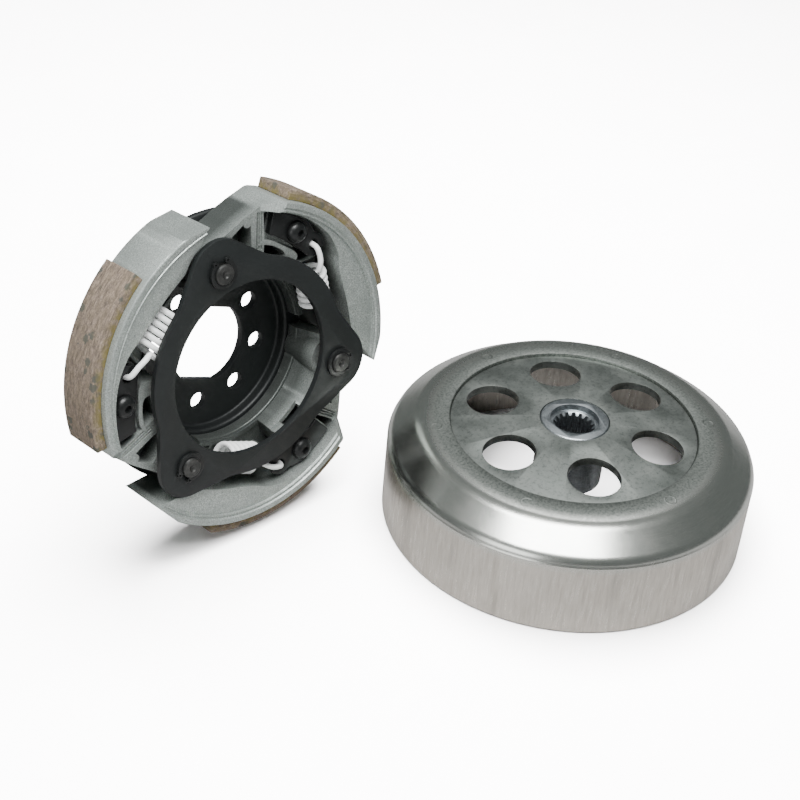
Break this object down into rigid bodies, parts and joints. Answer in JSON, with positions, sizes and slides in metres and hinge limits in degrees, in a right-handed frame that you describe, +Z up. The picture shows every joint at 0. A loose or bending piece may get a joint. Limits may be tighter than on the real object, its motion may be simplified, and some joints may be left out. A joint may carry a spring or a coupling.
{
  "type": "centrifugal clutch and clutch bell",
  "caption": "Scooter variator clutch: sprung friction shoes pivot on a round backing plate; separate steel bell with a holed, domed end and a splined hub.",
  "frame": {"origin": "middle of the bounding box, on the surface that the set stands on", "axes": "+X from the clutch towards the bell along the set's longest side; +Z up, along the bell's axis out of its domed end; the clutch faces -Y and leans back 8.5 degrees"},
  "size_m": [0.2366, 0.1754, 0.1286],
  "materials": {
    "black_steel": "black satin coating on pressed steel",
    "cast_alloy": "die-cast aluminium alloy, pale grey and slightly grainy",
    "friction_material": "moulded friction compound, brown with dark and pale specks",
    "black_oxide": "black oxide on steel",
    "white_coating": "white coating on spring wire",
    "pin_steel": "turned steel, darkened",
    "brushed_steel": "turned and polished steel",
    "zinc_steel": "zinc-plated pressed steel, mottled grey",
    "hub_steel": "machined steel, slightly blue"
  },
  "bodies": {
    "carrier": {"backing_plate": "black_steel", "retainer_plate": "black_steel", "pivot_pin_1": "pin_steel", "pivot_pin_2": "pin_steel", "pivot_pin_3": "pin_steel", "circlip_1": "black_oxide", "circlip_2": "black_oxide", "circlip_3": "black_oxide"},
    "shoe_unit_1": {"shoe_1": "cast_alloy", "friction_lining_1": "friction_material", "spring_anchor_1": "black_oxide", "anchor_screw_1": "black_oxide", "return_spring_1": "white_coating"},
    "shoe_unit_2": {"shoe_2": "cast_alloy", "friction_lining_2": "friction_material", "spring_anchor_2": "black_oxide", "anchor_screw_2": "black_oxide", "return_spring_2": "white_coating"},
    "shoe_unit_3": {"shoe_3": "cast_alloy", "friction_lining_3": "friction_material", "spring_anchor_3": "black_oxide", "anchor_screw_3": "black_oxide", "return_spring_3": "white_coating"},
    "bell": {"bell_drum": "brushed_steel", "bell_disc": "zinc_steel", "splined_hub": "hub_steel"}
  },
  "joints": [
    {"name": "shoe_1_swing", "type": "hinge", "parent": "carrier", "child": "shoe_unit_1", "pos_m": [-0.06169, 0.07155, 0.10654], "axis": [0, -0.989, 0.1478], "range_deg": [0, 4], "stiffness_Nm_per_rad": 6, "springref_deg": -10.89, "deforming": ["return_spring_1"]},
    {"name": "shoe_2_swing", "type": "hinge", "parent": "carrier", "child": "shoe_unit_2", "pos_m": [-0.01243, 0.06374, 0.0543], "axis": [0, -0.989, 0.1478], "range_deg": [0, 4], "stiffness_Nm_per_rad": 6, "springref_deg": -10.89, "deforming": ["return_spring_2"]},
    {"name": "shoe_3_swing", "type": "hinge", "parent": "carrier", "child": "shoe_unit_3", "pos_m": [-0.08281, 0.06134, 0.03823], "axis": [0, -0.989, 0.1478], "range_deg": [0, 4], "stiffness_Nm_per_rad": 6, "springref_deg": -10.89, "deforming": ["return_spring_3"]},
    {"name": "bell_spin", "type": "hinge", "parent": "carrier", "child": "bell", "pos_m": [0.04799, -0.01739, 0.02], "axis": [0, 0, 1], "continuous": true}
  ]
}
